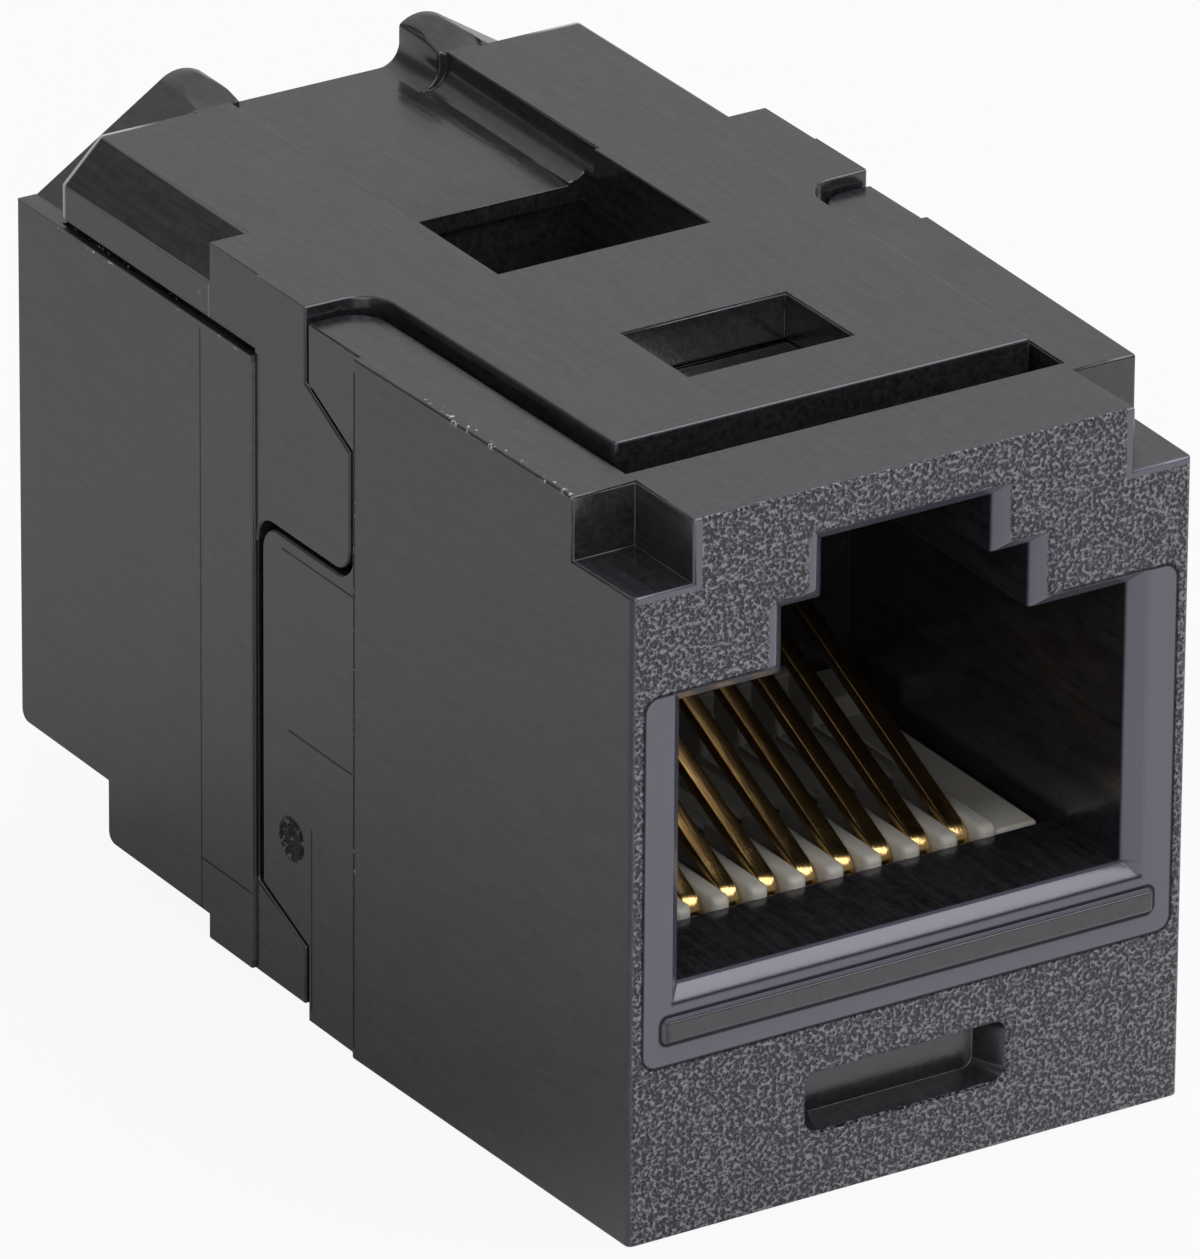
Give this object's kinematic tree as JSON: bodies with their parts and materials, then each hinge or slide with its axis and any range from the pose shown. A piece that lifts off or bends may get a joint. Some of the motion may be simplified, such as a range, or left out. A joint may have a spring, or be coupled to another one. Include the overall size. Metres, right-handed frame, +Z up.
{
  "type": "ethernet keystone coupler",
  "caption": "In-line coupler for twisted-pair network cable: a modular socket at each end of a two-half interlocked housing with gilt spring contacts.",
  "frame": {"origin": "middle of the footprint of the whole coupler, on the flat underside", "axes": "+Y from the front socket to the rear socket, +Z up from the contacts to the latch side, +X to the right when looking into the front socket"},
  "size_m": [0.0154, 0.0264, 0.018],
  "materials": {
    "housing_plastic": "spark-eroded matt",
    "comb_plastic": "smooth",
    "board_laminate": "satin",
    "contact_gilt": "polished"
  },
  "bodies": {
    "housing": {"front_housing": "housing_plastic", "rear_housing": "housing_plastic", "circuit_board": "board_laminate", "front_contact_carrier": "comb_plastic", "rear_contact_carrier": "comb_plastic"},
    "front_contact_1": {"front_contact_1": "contact_gilt"},
    "front_contact_2": {"front_contact_2": "contact_gilt"},
    "front_contact_3": {"front_contact_3": "contact_gilt"},
    "front_contact_4": {"front_contact_4": "contact_gilt"},
    "front_contact_5": {"front_contact_5": "contact_gilt"},
    "front_contact_6": {"front_contact_6": "contact_gilt"},
    "front_contact_7": {"front_contact_7": "contact_gilt"},
    "front_contact_8": {"front_contact_8": "contact_gilt"},
    "rear_contact_1": {"rear_contact_1": "contact_gilt"},
    "rear_contact_2": {"rear_contact_2": "contact_gilt"},
    "rear_contact_3": {"rear_contact_3": "contact_gilt"},
    "rear_contact_4": {"rear_contact_4": "contact_gilt"},
    "rear_contact_5": {"rear_contact_5": "contact_gilt"},
    "rear_contact_6": {"rear_contact_6": "contact_gilt"},
    "rear_contact_7": {"rear_contact_7": "contact_gilt"},
    "rear_contact_8": {"rear_contact_8": "contact_gilt"}
  },
  "joints": [
    {"name": "front_contact_1_flex", "type": "hinge", "parent": "housing", "child": "front_contact_1", "pos_m": [-0.00356, -0.00907, 0.00575], "axis": [-1, 0, 0], "range_deg": [0, 8], "stiffness_Nm_per_rad": 0.05},
    {"name": "front_contact_2_flex", "type": "hinge", "parent": "housing", "child": "front_contact_2", "pos_m": [-0.00254, -0.00907, 0.00575], "axis": [-1, 0, 0], "range_deg": [0, 8], "stiffness_Nm_per_rad": 0.05},
    {"name": "front_contact_3_flex", "type": "hinge", "parent": "housing", "child": "front_contact_3", "pos_m": [-0.00152, -0.00907, 0.00575], "axis": [-1, 0, 0], "range_deg": [0, 8], "stiffness_Nm_per_rad": 0.05},
    {"name": "front_contact_4_flex", "type": "hinge", "parent": "housing", "child": "front_contact_4", "pos_m": [-0.00051, -0.00907, 0.00575], "axis": [-1, 0, 0], "range_deg": [0, 8], "stiffness_Nm_per_rad": 0.05},
    {"name": "front_contact_5_flex", "type": "hinge", "parent": "housing", "child": "front_contact_5", "pos_m": [0.00051, -0.00907, 0.00575], "axis": [-1, 0, 0], "range_deg": [0, 8], "stiffness_Nm_per_rad": 0.05},
    {"name": "front_contact_6_flex", "type": "hinge", "parent": "housing", "child": "front_contact_6", "pos_m": [0.00152, -0.00907, 0.00575], "axis": [-1, 0, 0], "range_deg": [0, 8], "stiffness_Nm_per_rad": 0.05},
    {"name": "front_contact_7_flex", "type": "hinge", "parent": "housing", "child": "front_contact_7", "pos_m": [0.00254, -0.00907, 0.00575], "axis": [-1, 0, 0], "range_deg": [0, 8], "stiffness_Nm_per_rad": 0.05},
    {"name": "front_contact_8_flex", "type": "hinge", "parent": "housing", "child": "front_contact_8", "pos_m": [0.00356, -0.00907, 0.00575], "axis": [-1, 0, 0], "range_deg": [0, 8], "stiffness_Nm_per_rad": 0.05},
    {"name": "rear_contact_1_flex", "type": "hinge", "parent": "housing", "child": "rear_contact_1", "pos_m": [0.00356, 0.00924, 0.00575], "axis": [1, 0, 0], "range_deg": [0, 8], "stiffness_Nm_per_rad": 0.05},
    {"name": "rear_contact_2_flex", "type": "hinge", "parent": "housing", "child": "rear_contact_2", "pos_m": [0.00254, 0.00924, 0.00575], "axis": [1, 0, 0], "range_deg": [0, 8], "stiffness_Nm_per_rad": 0.05},
    {"name": "rear_contact_3_flex", "type": "hinge", "parent": "housing", "child": "rear_contact_3", "pos_m": [0.00152, 0.00924, 0.00575], "axis": [1, 0, 0], "range_deg": [0, 8], "stiffness_Nm_per_rad": 0.05},
    {"name": "rear_contact_4_flex", "type": "hinge", "parent": "housing", "child": "rear_contact_4", "pos_m": [0.00051, 0.00924, 0.00575], "axis": [1, 0, 0], "range_deg": [0, 8], "stiffness_Nm_per_rad": 0.05},
    {"name": "rear_contact_5_flex", "type": "hinge", "parent": "housing", "child": "rear_contact_5", "pos_m": [-0.00051, 0.00924, 0.00575], "axis": [1, 0, 0], "range_deg": [0, 8], "stiffness_Nm_per_rad": 0.05},
    {"name": "rear_contact_6_flex", "type": "hinge", "parent": "housing", "child": "rear_contact_6", "pos_m": [-0.00152, 0.00924, 0.00575], "axis": [1, 0, 0], "range_deg": [0, 8], "stiffness_Nm_per_rad": 0.05},
    {"name": "rear_contact_7_flex", "type": "hinge", "parent": "housing", "child": "rear_contact_7", "pos_m": [-0.00254, 0.00924, 0.00575], "axis": [1, 0, 0], "range_deg": [0, 8], "stiffness_Nm_per_rad": 0.05},
    {"name": "rear_contact_8_flex", "type": "hinge", "parent": "housing", "child": "rear_contact_8", "pos_m": [-0.00356, 0.00924, 0.00575], "axis": [1, 0, 0], "range_deg": [0, 8], "stiffness_Nm_per_rad": 0.05}
  ]
}
